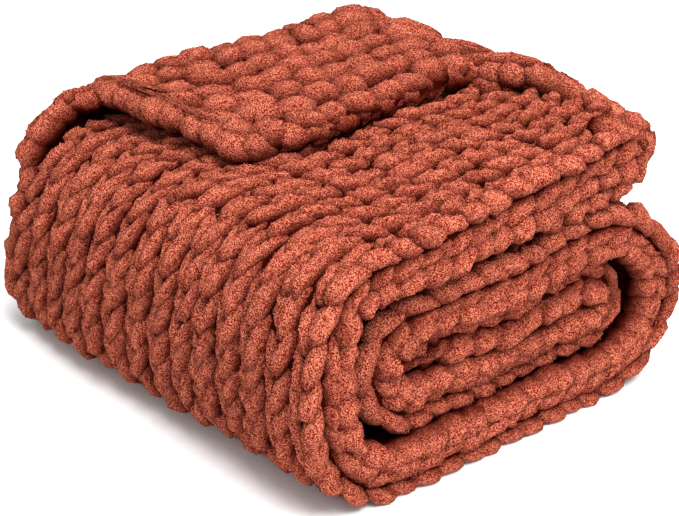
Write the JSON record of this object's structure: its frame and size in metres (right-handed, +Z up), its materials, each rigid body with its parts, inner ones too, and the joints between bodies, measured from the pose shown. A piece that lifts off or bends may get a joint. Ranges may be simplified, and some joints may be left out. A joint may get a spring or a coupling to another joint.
{
  "type": "folded chunky knit blanket",
  "caption": "Folded chunky chenille knit blanket: one cloth folded in three and wrapped into a soft block, the far edge of its top layer turned back.",
  "frame": {"origin": "centre of the block's bounding box in plan, on the surface that it lies on", "axes": "+Z up, +Y along the folds from the open near end to the far end, +X across them from the first rounded fold to the outer end hem"},
  "size_m": [0.342, 0.41, 0.22],
  "materials": {
    "chenille_yarn": "deep, soft rust-coloured chenille pile"
  },
  "bodies": {
    "root": {"blanket": "chenille_yarn"}
  },
  "joints": []
}
